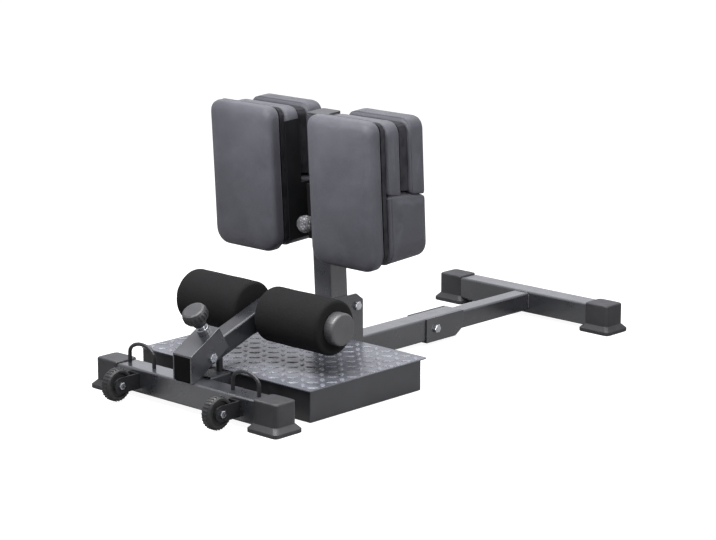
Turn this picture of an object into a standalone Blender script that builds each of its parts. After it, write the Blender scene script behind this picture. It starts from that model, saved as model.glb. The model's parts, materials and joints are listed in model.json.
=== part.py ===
# Sissy squat machine: a T-shaped steel base with a foot plate, a hinged arm with two foam
# ankle rollers, and a leaning post that carries two calf pads on a sliding carriage.
# Metres. X runs to the right, Y to the rear, Z up. The front crossbar's cap starts at y = 0
# of the shop frame, and the shop frame is moved so that the whole machine sits on its middle.
import math

import bmesh
import bpy

# shop frame
middle_y = 0.5138          # half way between the wheels' front and the rear feet
gap = 0.0003               # left between pieces that touch
past = 0.005               # how far a cutter runs past the face that it cuts

# crossbars and rails, square tube
bar = 0.050
wall = 0.002
slim_bar = 0.040
tube_corner = 0.004
front_bar_y = 0.0283       # centre of the front crossbar
rear_bar_y = 1.0683
bar_z = 0.0364
front_half = 0.2578        # half width over the front end caps
rear_half = 0.2444
rail_z = 0.039
front_rail_end = 0.808
rail_overlap = 0.110
collar_start = 0.688
rail_bolt_y = 0.718
collar_wall = 0.003
chamfer_low = 0.782        # where the rail's lower rear corner starts to rise
chamfer_top_z = 0.027
liner_back = 0.017         # from the rails' bolt to the plastic liner

# moulded end caps
cap_length = 0.064
cap_wall = 0.003
cap_flare = 0.009          # how far the foot stands out at the floor
cap_foot = 0.008           # straight height of the foot
cap_rise = 0.018           # where the foot meets the body
cap_corner = 0.008

# foot plate and the folded tray under it
tray_half = 0.240
plate_half = tray_half + 0.002     # the plate stands a little over the tray's sides
plate_front = 0.108
plate_rear = 0.449
plate_thick = 0.0022
plate_corner = 0.006
notch_half = 0.031
notch_front = 0.392
tray_front_y = 0.112
tray_rear_y = 0.430
tray_bottom = 0.002
tray_sheet = 0.002

# transport wheels
wheel_x = 0.144
wheel_y = -0.045
wheel_z = 0.0376
wheel_radius = 0.033
wheel_width = 0.022
ear_half = 0.016
ear_gap = 0.0008
ear_sheet = 0.003
small_bolt = 0.004         # shank radius of the wheel bolts
small_head = 0.0053
small_across = 0.013

# band loops, bent rod
loop_middle = front_half - cap_length - 0.0448     # inboard of the front end caps
loop_half = 0.036
loop_rod = 0.004
loop_shoulder = 0.083
loop_top = 0.104

# bracket, arm and rollers
bracket_half = 0.026
bracket_sheet = 0.003
bracket_slope = math.radians(30.4)
bracket_depth = 0.050
bracket_top_z = 0.1156     # height of the web over y = 0
bracket_reach = 0.0763     # y of the web's rear edge
bracket_foot = 0.014
pivot_y = 0.0565
pivot_z = 0.104
arm_slope = math.radians(19.57)
arm_front = 0.028
axle_reach = 0.1767
arm_rear = axle_reach + 0.0253
arm_plug_deep = 0.012
arm_plug_thick = 0.004
axle_radius = 0.010
foam_radius = 0.0565
foam_inner = 0.028
foam_outer = 0.2007
axle_half = foam_outer + 0.0023
foam_edge = 0.009
hub_wall = 0.0026
hub_cap_radius = 0.033
hub_cap_deep = 0.0225      # how far the hub's cap stands out of the foam
hub_cap_edge = 0.005
rest_post_y = 0.100
rest_post_radius = 0.007

# screw that limits the arm's lift
screw_y = 0.060
screw_radius = 0.006
screw_tip = 0.0175         # below the web's top face
screw_collar_radius = 0.0135
screw_collar_height = 0.012
screw_knob_radius = 0.025
screw_knob_low = 0.020
screw_knob_high = 0.058

# post and its bracket
post_y = 0.4256
post_foot_z = 0.064
post_lean = math.radians(3.0)
post_top = 0.480
post_cap_deep = 0.015
post_cap_thick = 0.005
hole_pitch = 0.025
holes_below = 3
holes_above = 5
post_plate_front = 0.394
post_plate_rear = 0.487
post_plate_low = 0.032
post_plate_high = 0.161
post_bolt_spots = (("post_bolt_lower", 0.422, 0.105), ("post_bolt_upper", 0.468, 0.135))
bolt_radius = 0.005
bolt_head = 0.0065
bolt_across = 0.017
bolt_play = 0.0003

# pad carriage and its pull pin
sleeve_play = 0.0004
sleeve_outer = 0.029
carriage_low = 0.221
carriage_high = 0.336
side_plate_sheet = 0.003
side_plate_front = -0.066
side_plate_rear = 0.040
upright_rear = -0.026      # the side plates' front part runs on up beside the upper cushions
upright_high = 0.470
carriage_web = 0.004
pin_z = 0.263
pin_radius = 0.005
pin_play = 0.0004
pin_collar_radius = 0.009
pin_collar_front = -0.042
pin_knob_radius = 0.0175
pin_knob_back = -0.049
pin_knob_front = -0.078

# calf pads, measured along the post and across it
pad_inner = 0.050
pad_outer = 0.227
side_plate_x = pad_inner - gap                    # the carriage's side plates touch the pads
pad_low = 0.199
pad_high = 0.503
pad_back_high = 0.494      # top of the cushions behind the front board
pad_split_low = 0.3492     # the seam under the upper cushions, where it leaves the front board
pad_split_high = 0.3502
pad_split_slope = math.radians(9.6)
pad_front = -0.111
front_board_front = -0.0687
front_board_back = -0.058
upper_board_front = -0.015
upper_board_back = 0.0057
pad_rear = 0.055
pad_corner_low = 0.034
pad_corner_high = 0.024
pad_corner_seam = 0.004
pad_corner_least = 0.002
board_inset = 0.008
pad_crown = 0.005
back_crown = 0.003
pad_corner_steps = 6
front_edge = 0.014         # how round the front cushion's cover is pulled over its edge
front_seat_edge = 0.010
back_edge = 0.008          # the same for the cushions behind it
back_seat_edge = 0.005

# finishes: colour, roughness, metallic
black_paint = ((0.028, 0.028, 0.031), 0.38, 0.0)
plate_paint = ((0.34, 0.36, 0.40), 0.50, 0.0)
zinc = ((0.72, 0.72, 0.74), 0.30, 1.0)
moulding = ((0.018, 0.018, 0.020), 0.50, 0.0)
foam_skin = ((0.030, 0.030, 0.032), 0.85, 0.0)
vinyl = ((0.075, 0.078, 0.095), 0.42, 0.0)
board_wood = ((0.020, 0.019, 0.018), 0.75, 0.0)
tyre_skin = ((0.016, 0.016, 0.017), 0.60, 0.0)
speckle = ((0.32, 0.32, 0.34), 0.45, 0.2)


def empty_scene():
    for thing in list(bpy.data.objects):
        bpy.data.objects.remove(thing, do_unlink=True)


def add_frame(name, spot, turn, parent=None):
    frame = bpy.data.objects.new(name, None)
    frame.empty_display_size = 0.03
    frame.location = spot
    frame.rotation_euler = (turn, 0.0, 0.0)
    frame.parent = parent
    bpy.context.scene.collection.objects.link(frame)
    return frame


def add_piece(name, bm, finish, parent, spot=(0.0, 0.0, 0.0), round_piece=False):
    bmesh.ops.recalc_face_normals(bm, faces=bm.faces[:])
    mesh = bpy.data.meshes.new(name)
    bm.to_mesh(mesh)
    bm.free()
    if round_piece:
        mesh.shade_smooth()
        mesh.set_sharp_from_angle(angle=math.radians(38.0))
    piece = bpy.data.objects.new(name, mesh)
    piece.location = spot
    piece.parent = parent
    bpy.context.scene.collection.objects.link(piece)
    colour, rough, metal = finish
    skin = bpy.data.materials.new(name + "_finish")
    skin.use_nodes = True
    surface = skin.node_tree.nodes["Principled BSDF"]
    surface.inputs["Base Color"].default_value = (colour[0], colour[1], colour[2], 1.0)
    surface.inputs["Roughness"].default_value = rough
    surface.inputs["Metallic"].default_value = metal
    mesh.materials.append(skin)
    return piece


def cut_away(piece, cutter_forms):
    # takes the cutters' forms out of the piece; they are in the piece's own frame
    for number, form in enumerate(cutter_forms):
        bmesh.ops.recalc_face_normals(form, faces=form.faces[:])
        mesh = bpy.data.meshes.new(piece.name + "_cutter")
        form.to_mesh(mesh)
        form.free()
        cutter = bpy.data.objects.new(piece.name + "_cutter", mesh)
        cutter.parent = piece.parent
        cutter.location = piece.location
        cutter.hide_render = True
        cutter.display_type = "WIRE"
        bpy.context.scene.collection.objects.link(cutter)
        step = piece.modifiers.new("cut_%d" % number, "BOOLEAN")
        step.operation = "DIFFERENCE"
        step.solver = "EXACT"
        step.object = cutter
        bpy.context.view_layer.update()
        graph = bpy.context.evaluated_depsgraph_get()
        shaped = bpy.data.meshes.new_from_object(piece.evaluated_get(graph))
        piece.modifiers.clear()
        before = piece.data
        piece.data = shaped
        shaped.name = piece.name
        bpy.data.meshes.remove(before)
        bpy.data.objects.remove(cutter, do_unlink=True)
    return piece


def loft(loops, ring=False):
    # skins a run of loops with equal point counts; a ring joins the last loop to the first
    bm = bmesh.new()
    rows = []
    for loop in loops:
        rows.append([bm.verts.new(point) for point in loop])
    count = len(rows[0])
    pairs = list(zip(rows, rows[1:]))
    if ring:
        pairs.append((rows[-1], rows[0]))
    for low, high in pairs:
        for i in range(count):
            j = (i + 1) % count
            bm.faces.new((low[i], low[j], high[j], high[i]))
    if not ring:
        bm.faces.new(list(reversed(rows[0])))
        bm.faces.new(rows[-1])
    return bm


def box(x0, x1, y0, y1, z0, z1):
    low = [(x0, y0, z0), (x1, y0, z0), (x1, y1, z0), (x0, y1, z0)]
    high = [(x, y, z1) for x, y, z in low]
    return loft([low, high])


def put(axis, a, b, along):
    # a point from two cross-section values and one along the axis
    if axis == "x":
        return (along, a, b)
    if axis == "y":
        return (a, along, b)
    return (a, b, along)


def round_rect(a0, a1, b0, b1, corner, steps):
    points = []
    corners = ((a1, b1, 0.0), (a0, b1, 0.25), (a0, b0, 0.5), (a1, b0, 0.75))
    for a, b, start in corners:
        middle_a = a - corner if a == a1 else a + corner
        middle_b = b - corner if b == b1 else b + corner
        for i in range(steps + 1):
            angle = math.tau * (start + 0.25 * i / steps)
            points.append((middle_a + corner * math.cos(angle), middle_b + corner * math.sin(angle)))
    return points


def square_tube(axis, a, b, size, sheet, start, end):
    outer = round_rect(a - size / 2, a + size / 2, b - size / 2, b + size / 2, tube_corner, 3)
    inner_half = size / 2 - sheet
    inner = round_rect(a - inner_half, a + inner_half, b - inner_half, b + inner_half,
                       tube_corner - sheet, 3)
    loops = []
    for section, along in ((outer, start), (outer, end), (inner, end), (inner, start)):
        loops.append([put(axis, p, q, along) for p, q in section])
    return loft(loops, ring=True)


def turned(axis, a, b, profile, sides, ring=False, start=0.5):
    # a turned piece: the profile is (radius, place along the axis); start shifts its first edge
    loops = []
    for radius, along in profile:
        loop = []
        for i in range(sides):
            angle = math.tau * (i + start) / sides
            loop.append(put(axis, a + radius * math.cos(angle), b + radius * math.sin(angle), along))
        loops.append(loop)
    return loft(loops, ring)


def rod(axis, a, b, radius, start, end, sides=16):
    return turned(axis, a, b, ((radius, start), (radius, end)), sides)


def prism(points, axis, start, end):
    return loft([[put(axis, p, q, start) for p, q in points], [put(axis, p, q, end) for p, q in points]])


def hex_loop(across, along, a, b):
    # a hexagon as twelve points: the corners and the middles of the flats
    loop = []
    for i in range(12):
        angle = math.tau * i / 12
        reach = across / 2 if i % 2 else across / 2 / math.cos(math.tau / 12)
        loop.append((along, a + reach * math.cos(angle), b + reach * math.sin(angle)))
    return loop


def round_loop(radius, along, a, b):
    return [(along, a + radius * math.cos(math.tau * i / 12), b + radius * math.sin(math.tau * i / 12))
            for i in range(12)]


def through_bolt(y, z, shank, grip, head_high, across):
    # head on the right, nut on the left, with the shank's end showing past the nut
    nut_high = head_high * 1.15
    tail = shank * 0.6
    return loft([
        round_loop(shank * 0.85, -grip - nut_high - tail, y, z),
        round_loop(shank, -grip - nut_high - tail * 0.6, y, z),
        round_loop(shank, -grip - nut_high, y, z),
        hex_loop(across, -grip - nut_high, y, z),
        hex_loop(across, -grip, y, z),
        round_loop(shank, -grip, y, z),
        round_loop(shank, grip, y, z),
        hex_loop(across, grip, y, z),
        hex_loop(across, grip + head_high * 0.85, y, z),
        hex_loop(across * 0.88, grip + head_high, y, z),
    ])


def crossbar(name, y, half, parent):
    end = half - cap_wall - gap
    return add_piece(name, square_tube("x", y, bar_z, bar, wall, -end, end), black_paint, parent)


def end_cap(name, y, half, side, parent):
    # moulded cap over the crossbar's end, with a foot that flares out to the floor
    outer = half
    inner = half - cap_length
    y0 = y - bar / 2 - gap - cap_wall
    y1 = y + bar / 2 + gap + cap_wall
    top = bar_z + bar / 2 + gap + cap_wall
    rows = ((cap_flare - 0.0012, 0.0), (cap_flare, 0.0012), (cap_flare, cap_foot),
            (0.0, cap_rise), (0.0, top - 0.003), (-0.001, top - 0.0009), (-0.003, top))
    loops = []
    for grow, z in rows:
        x0 = inner - grow
        x1 = outer + grow
        outline = round_rect(x0, x1, y0 - grow, y1 + grow, cap_corner, 3)
        loops.append([(side * x, v, z) for x, v in outline])
    cap = add_piece(name, loft(loops), moulding, parent, round_piece=True)
    deep = side * (outer - cap_wall)
    mouth = side * (inner - 2 * cap_flare)
    low = bar_z - bar / 2 - gap
    high = bar_z + bar / 2 + gap
    pocket = box(min(deep, mouth), max(deep, mouth), y - bar / 2 - gap, y + bar / 2 + gap, low, high)
    return cut_away(cap, [pocket])


def rail_chamfer():
    # takes the lower rear corner off the front rail, its collar and its liner
    low = rail_z - bar / 2 - collar_wall - gap
    slope = (chamfer_top_z - low) / (front_rail_end - chamfer_low)
    far = front_rail_end + 0.020
    near = chamfer_low - 0.020
    points = ((near, low - 0.020 * slope), (far, chamfer_top_z + 0.020 * slope), (far, low - 0.030),
              (near, low - 0.030))
    return prism(points, "x", -bar, bar)


def front_rail(parent):
    start = front_bar_y + bar / 2 + gap
    rail = add_piece("front_rail", square_tube("y", 0.0, rail_z, bar, wall, start, front_rail_end),
                     black_paint, parent)
    bolt_hole = rod("x", rail_bolt_y, rail_z, bolt_radius + bolt_play, -bar, bar)
    return cut_away(rail, [rail_chamfer(), bolt_hole])


def rail_collar(parent):
    inner = bar / 2 + gap
    outer = inner + collar_wall
    low = rail_z - inner
    points = ((-outer, low - collar_wall), (outer, low - collar_wall), (outer, rail_z + bar / 2),
              (-outer, rail_z + bar / 2))
    collar = add_piece("rail_collar", prism(points, "y", collar_start, front_rail_end), black_paint, parent)
    channel = box(-inner, inner, collar_start - 0.01, front_rail_end + 0.01, low, rail_z + bar)
    bolt_hole = rod("x", rail_bolt_y, rail_z, bolt_radius + bolt_play, -bar, bar)
    return cut_away(collar, [channel, rail_chamfer(), bolt_hole])


def rail_liner(parent):
    # plastic sleeve that takes up the room between the two rails at the mouth
    outer = bar / 2 - wall - gap
    inner = slim_bar / 2 + gap
    big = round_rect(-outer, outer, rail_z - outer, rail_z + outer, 0.0018, 3)
    small = round_rect(-inner, inner, rail_z - inner, rail_z + inner, tube_corner, 3)
    start = rail_bolt_y + liner_back
    end = front_rail_end - 0.001
    loops = []
    for section, along in ((big, start), (big, end), (small, end), (small, start)):
        loops.append([put("y", p, q, along) for p, q in section])
    liner = add_piece("rail_liner", loft(loops, ring=True), moulding, parent)
    return cut_away(liner, [rail_chamfer()])


def rear_rail(parent):
    start = front_rail_end - rail_overlap
    end = rear_bar_y - bar / 2 - gap
    form = square_tube("y", 0.0, rail_z, slim_bar, wall, start, end)
    rail = add_piece("rear_rail", form, black_paint, parent)
    bolt_hole = rod("x", rail_bolt_y, rail_z, bolt_radius + bolt_play, -bar, bar)
    return cut_away(rail, [bolt_hole])


def rail_bolt(parent):
    grip = bar / 2 + collar_wall + 2 * gap
    form = through_bolt(rail_bolt_y, rail_z, bolt_radius, grip, bolt_head, bolt_across)
    return add_piece("rail_bolt", form, zinc, parent)


def foot_plate(parent):
    low = rail_z + bar / 2 + gap
    outline = round_rect(-plate_half, plate_half, plate_front, plate_rear, plate_corner, 3)
    plate = add_piece("foot_plate", prism(outline, "z", low, low + plate_thick), plate_paint, parent)
    notch = box(-notch_half, notch_half, notch_front, plate_rear + 0.01, low - 0.01, low + 0.01)
    return cut_away(plate, [notch])


def tray_side(name, side, parent):
    x0 = side * tray_half
    x1 = side * (tray_half - tray_sheet)
    form = box(min(x0, x1), max(x0, x1), tray_front_y, tray_rear_y, tray_bottom, rail_z + bar / 2)
    return add_piece(name, form, black_paint, parent)


def tray_end(name, y0, slot_half, parent):
    half = tray_half - tray_sheet - gap
    top = rail_z + bar / 2
    form = box(-half, half, y0, y0 + tray_sheet, tray_bottom, top)
    wall_piece = add_piece(name, form, black_paint, parent)
    slot = box(-slot_half, slot_half, y0 - 0.01, y0 + 0.01, rail_z - bar / 2 - gap, top + 0.01)
    return cut_away(wall_piece, [slot])


def wheel(name, side, parent):
    half = wheel_width / 2
    bore = small_bolt + bolt_play
    profile = ((bore, -half), (0.012, -half), (0.014, -half + 0.003), (0.023, -half + 0.003),
               (0.025, -half), (0.029, -half), (0.032, -half + 0.003), (wheel_radius, -half + 0.007),
               (wheel_radius, half - 0.007), (0.032, half - 0.003), (0.029, half), (0.025, half),
               (0.023, half - 0.003), (0.014, half - 0.003), (0.012, half), (bore, half))
    form = turned("x", 0.0, 0.0, profile, 24, ring=True, start=0.0)
    return add_piece(name, form, tyre_skin, parent, spot=(side * wheel_x, wheel_y, wheel_z),
                     round_piece=True)


def wheel_bracket(name, side, parent):
    # a folded channel welded to the front of the crossbar; its ears hold the wheel's bolt
    inner = wheel_width / 2 + ear_gap
    outer = inner + ear_sheet
    back = front_bar_y - bar / 2 - gap - wheel_y
    points = [(back, -ear_half), (back, ear_half)]
    for i in range(9):
        angle = math.pi * (0.5 + i / 8)
        points.append((ear_half * math.cos(angle), ear_half * math.sin(angle)))
    bracket = add_piece(name, prism(points, "x", -outer, outer), black_paint, parent,
                        spot=(side * wheel_x, wheel_y, wheel_z))
    room = box(-inner, inner, -2 * ear_half, back - ear_sheet, -2 * ear_half, 2 * ear_half)
    bolt_hole = rod("x", 0.0, 0.0, small_bolt + bolt_play, -0.03, 0.03)
    return cut_away(bracket, [room, bolt_hole])


def wheel_bolt(name, side, parent):
    grip = wheel_width / 2 + ear_gap + ear_sheet + gap
    form = through_bolt(0.0, 0.0, small_bolt, grip, small_head, small_across)
    return add_piece(name, form, zinc, parent, spot=(side * wheel_x, wheel_y, wheel_z))


def band_loop(name, side, parent):
    # bent rod: two upright legs joined by a flattened arch, standing on the crossbar
    foot = bar_z + bar / 2 + gap
    path = [(-loop_half, foot, -1.0, 0.0)]
    for i in range(13):
        angle = math.pi * (1.0 - i / 12)
        place = (loop_half * math.cos(angle), loop_shoulder + (loop_top - loop_shoulder) * math.sin(angle))
        lean = (math.cos(angle) / loop_half, math.sin(angle) / (loop_top - loop_shoulder))
        size = math.hypot(lean[0], lean[1])
        path.append((place[0], place[1], lean[0] / size, lean[1] / size))
    path.append((loop_half, foot, 1.0, 0.0))
    loops = []
    for x, z, out_x, out_z in path:
        loop = []
        for i in range(8):
            angle = math.tau * i / 8
            out = loop_rod * math.cos(angle)
            loop.append((side * loop_middle + x + out * out_x, front_bar_y + loop_rod * math.sin(angle),
                         z + out * out_z))
        loops.append(loop)
    return add_piece(name, loft(loops), black_paint, parent, round_piece=True)


def web_top(y):
    return bracket_top_z + y * math.tan(bracket_slope)


def roller_bracket(parent):
    # a channel open below: two side plates and a sloping web that the screw goes through
    top_z = web_top(bracket_reach)
    low_y = bracket_reach + bracket_depth * math.sin(bracket_slope)
    low_z = top_z - bracket_depth * math.cos(bracket_slope)
    foot = bar_z + bar / 2 + gap
    points = ((0.0, bracket_top_z), (bracket_reach, top_z), (low_y, low_z), (bracket_foot, foot), (0.0, foot))
    form = prism(points, "x", -bracket_half, bracket_half)
    bracket = add_piece("roller_bracket", form, black_paint, parent)
    inner = bracket_half - bracket_sheet
    drop = bracket_sheet / math.cos(bracket_slope)
    fore = -bracket_depth
    aft = bracket_reach + bracket_depth
    room_points = ((fore, web_top(fore) - drop), (aft, web_top(aft) - drop), (aft, bar_z), (fore, bar_z))
    room = prism(room_points, "x", -inner, inner)
    pivot_hole = rod("x", pivot_y, pivot_z, bolt_radius + bolt_play, -bar, bar)
    return cut_away(bracket, [room, pivot_hole, screw_hole()])


def screw_hole():
    # a round hole square to the web, in the bracket's frame
    form = rod("z", 0.0, 0.0, screw_radius + bolt_play, -screw_collar_height, screw_collar_height)
    for corner in form.verts:
        y = corner.co.y
        z = corner.co.z
        corner.co.y = screw_y + y * math.cos(bracket_slope) - z * math.sin(bracket_slope)
        corner.co.z = web_top(screw_y) + y * math.sin(bracket_slope) + z * math.cos(bracket_slope)
    return form


def bracket_plug(parent):
    half = bracket_half - bracket_sheet - gap
    low = bar_z + bar / 2 + 2 * gap
    high = bracket_top_z - bracket_sheet / math.cos(bracket_slope) - gap
    outline = round_rect(-half, half, low, high, 0.003, 2)
    rows = ((0.002, 0.0), (0.0, 0.0015), (0.0, 0.008))
    loops = []
    for inset, y in rows:
        narrow = (half - inset) / half
        lower = inset * 2 / (high - low)
        shape = [(x * narrow, z - lower * (z - (low + high) / 2)) for x, z in outline]
        loops.append([put("y", x, z, y) for x, z in shape])
    return add_piece("roller_bracket_plug", loft(loops), moulding, parent)


def arm_bolt(parent):
    grip = bracket_half + gap
    form = through_bolt(pivot_y, pivot_z, bolt_radius, grip, bolt_head, bolt_across)
    return add_piece("roller_arm_bolt", form, zinc, parent)


def roller_arm(parent):
    arm = add_piece("roller_arm", square_tube("y", 0.0, 0.0, slim_bar, wall, -arm_front, arm_rear),
                    black_paint, parent)
    bolt_hole = rod("x", 0.0, 0.0, bolt_radius + bolt_play, -slim_bar, slim_bar)
    axle_hole = rod("x", axle_reach, 0.0, axle_radius + bolt_play, -slim_bar, slim_bar, 24)
    return cut_away(arm, [bolt_hole, axle_hole])


def tube_plug(name, axis, size, end, deep, thick, parent):
    # a plug pushed into a square tube's end, with a plate that covers the tube's edge
    lip = size / 2 - wall - gap
    half = size / 2
    rows = ((lip - 0.001, end - deep, 0.0015), (lip, end - deep + 0.001, 0.0017), (lip, end + gap, 0.0017),
            (half, end + gap, tube_corner), (half, end + thick - 0.001, tube_corner),
            (half - 0.0015, end + thick, tube_corner))
    loops = []
    for reach, along, corner in rows:
        loops.append([put(axis, p, q, along) for p, q in round_rect(-reach, reach, -reach, reach, corner, 3)])
    return add_piece(name, loft(loops), moulding, parent)


def roller_axle(parent):
    return add_piece("roller_axle", rod("x", axle_reach, 0.0, axle_radius, -axle_half, axle_half, 24),
                     zinc, parent, round_piece=True)


def roller_foam(name, side, parent):
    bore = axle_radius + 0.0004 + hub_wall + gap
    quarter = []
    for i in range(4):
        angle = math.pi / 2 * i / 3
        quarter.append((foam_radius - foam_edge * (1 - math.sin(angle)), foam_edge * (1 - math.cos(angle))))
    profile = [(bore, foam_inner)]
    profile += [(radius, foam_inner + along) for radius, along in quarter]
    profile += [(radius, foam_outer - along) for radius, along in reversed(quarter)]
    profile.append((bore, foam_outer))
    profile = [(radius, side * along) for radius, along in profile]
    return add_piece(name, turned("x", 0.0, 0.0, profile, 32, ring=True), foam_skin, parent,
                     spot=(0.0, axle_reach, 0.0), round_piece=True)


def roller_hub(name, side, parent):
    # tube that runs on the axle, closed at the outer end by a thick cap with a rounded edge
    bore = axle_radius + 0.0004
    tube = bore + hub_wall
    start = slim_bar / 2 + 2 * gap
    back = foam_outer + gap
    face = back + hub_cap_deep
    profile = [(bore * 0.6, axle_half + gap), (bore, axle_half + gap), (bore, start), (tube, start),
               (tube, back), (hub_cap_radius, back)]
    for i in range(4):
        angle = math.pi / 2 * i / 3
        profile.append((hub_cap_radius - hub_cap_edge * (1 - math.cos(angle)),
                        face - hub_cap_edge * (1 - math.sin(angle))))
    profile.append((hub_cap_radius * 0.4, face))
    profile = [(radius, side * along) for radius, along in profile]
    return add_piece(name, turned("x", 0.0, 0.0, profile, 32), moulding, parent,
                     spot=(0.0, axle_reach, 0.0), round_piece=True)


def rest_post(parent):
    # the arm's stop: an upright pin on the rail, its top cut to the arm's slope
    form = rod("z", 0.0, rest_post_y, rest_post_radius, 0.0, 1.0)
    low = rail_z + bar / 2 + gap
    for corner in form.verts:
        along = (corner.co.y - pivot_y + (slim_bar / 2 + gap) * -math.sin(arm_slope)) / math.cos(arm_slope)
        under = pivot_z + along * math.sin(arm_slope) - (slim_bar / 2 + gap) * math.cos(arm_slope)
        corner.co.z = low if corner.co.z < 0.5 else under
    return add_piece("arm_rest_post", form, black_paint, parent)


def screw_collar(parent):
    bore = screw_radius + bolt_play
    profile = ((bore, gap), (screw_collar_radius, gap), (screw_collar_radius, screw_collar_height - 0.001),
               (screw_collar_radius - 0.001, screw_collar_height), (bore, screw_collar_height))
    return add_piece("arm_screw_collar", turned("z", 0.0, 0.0, profile, 24, ring=True), zinc, parent,
                     round_piece=True)


def screw_shaft(parent):
    top = screw_knob_low + 0.020
    profile = ((screw_radius - 0.001, -screw_tip), (screw_radius, -screw_tip + 0.001), (screw_radius, top))
    return add_piece("arm_screw_shaft", turned("z", 0.0, 0.0, profile, 16), zinc, parent, round_piece=True)


def screw_knob(parent):
    bore = screw_radius + gap
    deep = screw_knob_low + 0.020 + gap
    low = screw_knob_low
    high = screw_knob_high
    edge = screw_knob_radius
    profile = ((bore * 0.5, deep), (bore, deep), (bore, low), (0.013, low), (0.016, low + 0.008),
               (edge - 0.002, low + 0.014), (edge, low + 0.018), (edge, high - 0.006),
               (edge - 0.002, high - 0.0015), (edge - 0.006, high), (0.012, high))
    return add_piece("arm_screw_knob", turned("z", 0.0, 0.0, profile, 28), moulding, parent, round_piece=True)


def post_plate(name, side, parent):
    # side plate of the post's foot, bolted through the post
    points = ((post_plate_front, post_plate_low), (post_plate_rear, post_plate_low),
              (post_plate_rear, post_plate_high - 0.015), (post_plate_rear - 0.020, post_plate_high),
              (post_plate_front, post_plate_high))
    near = side * (bar / 2 + gap)
    far = side * (bar / 2 + gap + collar_wall)
    plate = add_piece(name, prism(points, "x", near, far), black_paint, parent)
    holes = []
    for word, y, z in post_bolt_spots:
        holes.append(rod("x", y, z, bolt_radius + bolt_play, -bar, bar))
    return cut_away(plate, holes)


def post_bolt(name, y, z, parent):
    grip = bar / 2 + collar_wall + 2 * gap
    return add_piece(name, through_bolt(y, z, bolt_radius, grip, bolt_head, bolt_across), zinc, parent)


def post_tube(parent):
    # leaning tube, its foot cut level, with a row of holes for the pull pin in its front wall
    form = square_tube("z", 0.0, 0.0, bar, wall, 0.0, post_top)
    for corner in form.verts:
        if corner.co.z < 0.001:
            corner.co.z = (gap - corner.co.y * math.sin(post_lean)) / math.cos(post_lean)
    post = add_piece("post_tube", form, black_paint, parent)
    holes = []
    for step in range(-holes_below, holes_above + 1):
        holes.append(rod("y", 0.0, pin_z + step * hole_pitch, pin_radius + pin_play, -bar / 2 - past,
                         -bar / 2 + wall + past))
    bolt_y = post_bolt_spots[0][1] - post_y
    bolt_z = post_bolt_spots[0][2] - post_foot_z
    lean_y = bolt_y * math.cos(post_lean) + bolt_z * math.sin(post_lean)
    lean_z = bolt_z * math.cos(post_lean) - bolt_y * math.sin(post_lean)
    holes.append(rod("x", lean_y, lean_z, bolt_radius + bolt_play, -bar, bar))
    return cut_away(post, holes)


def pad_carriage(parent):
    # one welded piece: a sleeve on the post, a web each side and the plates that hold the pads,
    # drawn at full height and cut down to the uprights above the sleeve
    inner = bar / 2 + sleeve_play
    out = sleeve_outer
    far = side_plate_x
    near = far - side_plate_sheet
    front = side_plate_front
    rear = side_plate_rear
    right = [(out, -out), (out, -carriage_web), (near, -carriage_web), (near, front), (far, front),
             (far, rear), (near, rear), (near, 0.0), (out, 0.0), (out, out)]
    left = [(-x, y) for x, y in reversed(right)]
    form = prism(right + left, "z", carriage_low, upright_high)
    carriage = add_piece("pad_carriage", form, black_paint, parent)
    bore = box(-inner, inner, -inner, inner, carriage_low - past, upright_high + past)
    over_rear = box(-far - past, far + past, upright_rear, rear + past, carriage_high, upright_high + past)
    between = box(-near, near, front - past, upright_rear + past, carriage_high, upright_high + past)
    pin_hole = rod("y", 0.0, pin_z, pin_radius + pin_play, -out - past, -inner + past)
    return cut_away(carriage, [over_rear, between, bore, pin_hole])


def pin_collar(parent):
    back = -sleeve_outer - gap
    bore = pin_radius + pin_play
    profile = ((bore, back), (pin_collar_radius, back), (pin_collar_radius, pin_collar_front + 0.001),
               (pin_collar_radius - 0.001, pin_collar_front), (bore, pin_collar_front))
    return add_piece("carriage_pin_collar", turned("y", 0.0, pin_z, profile, 20, ring=True), zinc, parent,
                     round_piece=True)


def pull_pin(parent):
    # knob and pin in one; the pin stops just short of the post's front wall
    tip = -bar / 2 - sleeve_play
    profile = ((pin_radius - 0.001, tip), (pin_radius, tip - 0.001), (pin_radius, pin_knob_back),
               (0.012, pin_knob_back), (0.014, pin_knob_back - 0.006),
               (pin_knob_radius - 0.002, pin_knob_back - 0.010), (pin_knob_radius, pin_knob_back - 0.013),
               (pin_knob_radius, pin_knob_front + 0.006),
               (pin_knob_radius - 0.002, pin_knob_front + 0.002), (pin_knob_radius - 0.006, pin_knob_front),
               (0.010, pin_knob_front))
    form = turned("y", 0.0, pin_z, profile, 24)
    return add_piece("carriage_pull_pin", form, speckle, parent, round_piece=True)


def pad_loop(side, low, high, inset, y):
    # low and high: an end's height where it leaves the front board, its corner radius, and the
    # slope at which the end drops towards the rear
    near = pad_inner + inset
    far = pad_outer - inset
    ends = []
    for z, corner, slope in (low, high):
        drop = (y - front_board_back) * math.tan(slope)
        ends.append((z - drop, max(corner - inset, pad_corner_least)))
    (z0, r0), (z1, r1) = ends
    z0 += inset
    z1 -= inset
    loop = []
    for x, z, radius, start in ((far - r1, z1 - r1, r1, 0.0), (near + r1, z1 - r1, r1, 0.25),
                                (near + r0, z0 + r0, r0, 0.5), (far - r0, z0 + r0, r0, 0.75)):
        for i in range(pad_corner_steps + 1):
            angle = math.tau * (start + 0.25 * i / pad_corner_steps)
            loop.append((side * (x + radius * math.cos(angle)), y, z + radius * math.sin(angle)))
    return loop


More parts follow.
